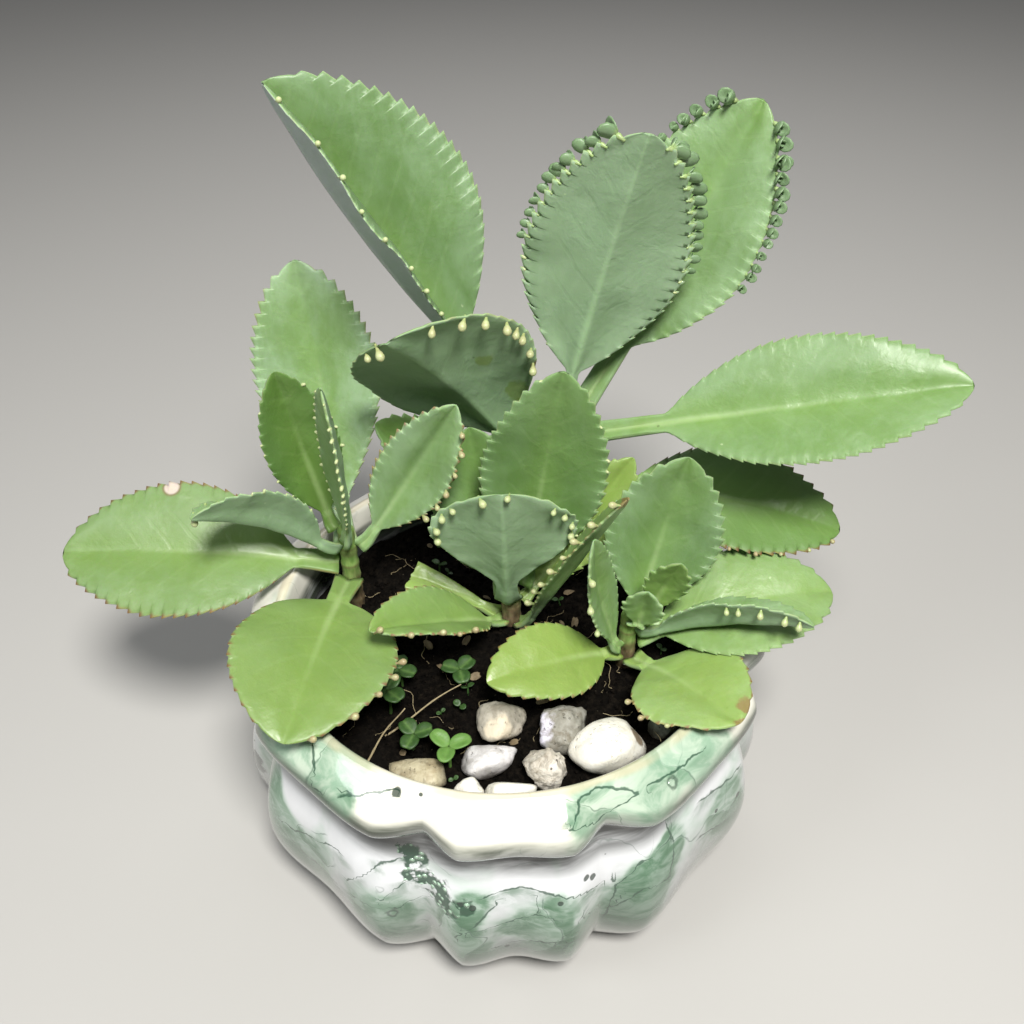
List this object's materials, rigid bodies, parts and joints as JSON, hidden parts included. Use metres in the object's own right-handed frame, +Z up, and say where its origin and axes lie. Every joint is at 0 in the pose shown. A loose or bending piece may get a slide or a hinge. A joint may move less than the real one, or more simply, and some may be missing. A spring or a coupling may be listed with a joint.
{
  "type": "potted mother of thousands",
  "caption": "Lobed glazed bowl planter filled with soil, holding young succulents with toothed leaves that carry plantlets on their edges, with loose pebbles and clover seedlings.",
  "frame": {"origin": "centre of the pot's flat foot, on the surface it stands on", "axes": "+Z up; -Y towards the side the picture shows; +X to the right of that view"},
  "size_m": [0.3073, 0.1922, 0.2608],
  "materials": {
    "glaze": "glossy cream glaze marbled with green",
    "soil": "dark crumbly potting soil",
    "bark": "woody stem with leaf scars",
    "green_leaf": "waxy succulent leaf",
    "yellow_leaf": "older yellow-green succulent leaf",
    "pebble": "worn pale pebble",
    "seedling": "thin soft leaf",
    "straw": "dry grass"
  },
  "bodies": {
    "root": {"pot": "glaze", "soil": "soil", "stem_left": "bark", "stem_back": "bark", "stem_middle": "bark", "stem_right": "bark", "leaf_left_reaching": "green_leaf", "leaf_left_tall": "green_leaf", "leaf_left_inner": "green_leaf", "leaf_left_edge": "green_leaf", "leaf_left_folded": "green_leaf", "leaf_left_leaning": "green_leaf", "leaf_left_drooping": "green_leaf", "leaf_back_left": "green_leaf", "leaf_back_centre": "green_leaf", "leaf_back_rear": "green_leaf", "leaf_back_right": "green_leaf", "leaf_back_low_right": "green_leaf", "leaf_back_hood": "green_leaf", "leaf_back_low_left": "green_leaf", "leaf_middle_tall": "green_leaf", "leaf_middle_left": "green_leaf", "leaf_middle_hood": "green_leaf", "leaf_middle_slanted": "green_leaf", "leaf_middle_low_left": "green_leaf", "leaf_middle_yellow": "yellow_leaf", "leaf_middle_stub": "yellow_leaf", "leaf_right_tall": "green_leaf", "leaf_right_narrow": "green_leaf", "leaf_right_small": "green_leaf", "leaf_right_young": "green_leaf", "leaf_right_wide": "green_leaf", "leaf_right_folded": "green_leaf", "leaf_right_low": "yellow_leaf", "leaf_right_yellow": "yellow_leaf", "pebble_grey": "pebble", "pebble_oblong": "pebble", "pebble_tall_grey": "pebble", "pebble_crusty": "pebble", "pebble_smooth_white": "pebble", "pebble_brown_cream": "pebble", "pebble_small_cream": "pebble", "pebble_cream": "pebble", "pebble_grey_green": "pebble", "pebble_rear": "pebble", "seedling_front": "seedling", "seedling_left": "seedling", "seedling_shaded": "seedling", "seedling_inner": "seedling", "seedling_wall": "seedling", "stalk_long": "straw", "stalk_short": "straw"}
  },
  "joints": []
}
